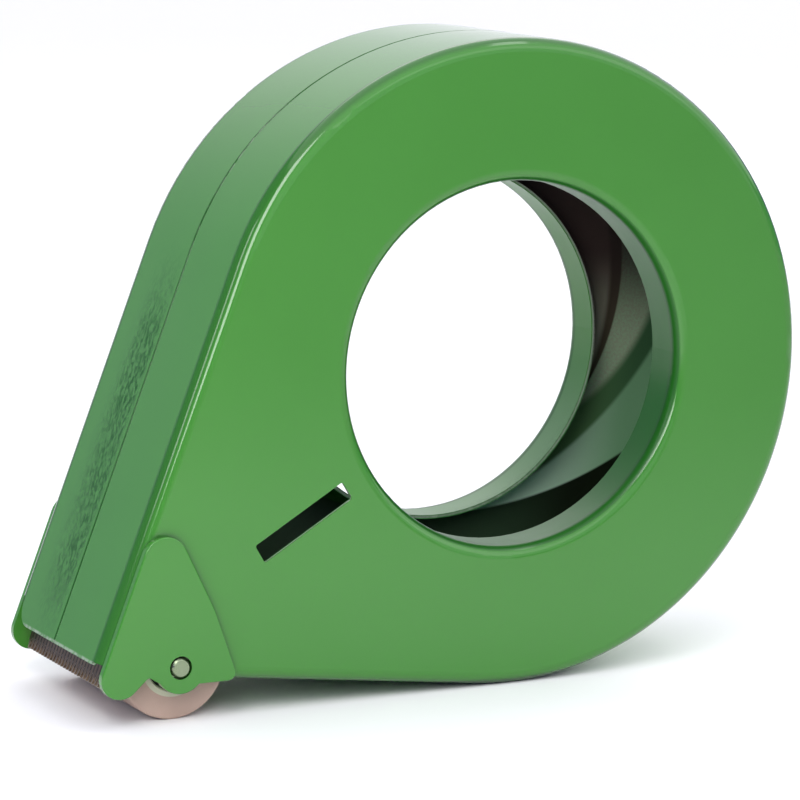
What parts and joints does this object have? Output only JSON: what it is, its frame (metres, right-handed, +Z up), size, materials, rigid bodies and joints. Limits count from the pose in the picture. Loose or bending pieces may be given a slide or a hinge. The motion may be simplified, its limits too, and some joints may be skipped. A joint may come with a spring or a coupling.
{
  "type": "tape dispenser",
  "caption": "Ring-handled hand tape dispenser: a pressed-steel teardrop housing in halves, with a toothed blade and a rubber roller at its nose.",
  "frame": {"origin": "centre of the hand hole, half way across the width of the housing", "axes": "+X from the nose to the back of the ring, +Y along the hand hole from the cover half to the main half, +Z up as it stands on the ring and the roller"},
  "size_m": [0.1552, 0.0511, 0.13],
  "materials": {
    "green_enamel": "gloss enamel, slightly uneven",
    "blade_steel": "browned spring steel with bright ground tooth edges",
    "plated_steel": "zinc plated",
    "tyre_rubber": "matt moulded rubber",
    "core_plastic": "cream moulded plastic",
    "bush_plastic": "dark moulded plastic"
  },
  "bodies": {
    "main_half": {"main_shell": "green_enamel", "main_side_plate": "green_enamel", "locating_band": "green_enamel", "blade_holder": "green_enamel", "cutting_blade": "blade_steel", "blade_screws": "plated_steel", "axle_pin": "plated_steel", "axle_spacer": "plated_steel", "axle_washer": "plated_steel", "retaining_ring": "plated_steel"},
    "cover_half": {"cover_shell": "green_enamel", "cover_side_plate": "green_enamel"},
    "roller": {"roller_core": "core_plastic", "roller_tyre": "tyre_rubber", "roller_bush_near": "bush_plastic", "roller_bush_far": "bush_plastic"}
  },
  "joints": [
    {"name": "cover_pull", "type": "slide", "parent": "main_half", "child": "cover_half", "axis": [0, -1, 0], "range_m": [0, 0.07]},
    {"name": "roller_spin", "type": "hinge", "parent": "main_half", "child": "roller", "pos_m": [-0.0734, 0, -0.054], "axis": [0, 1, 0], "continuous": true}
  ]
}
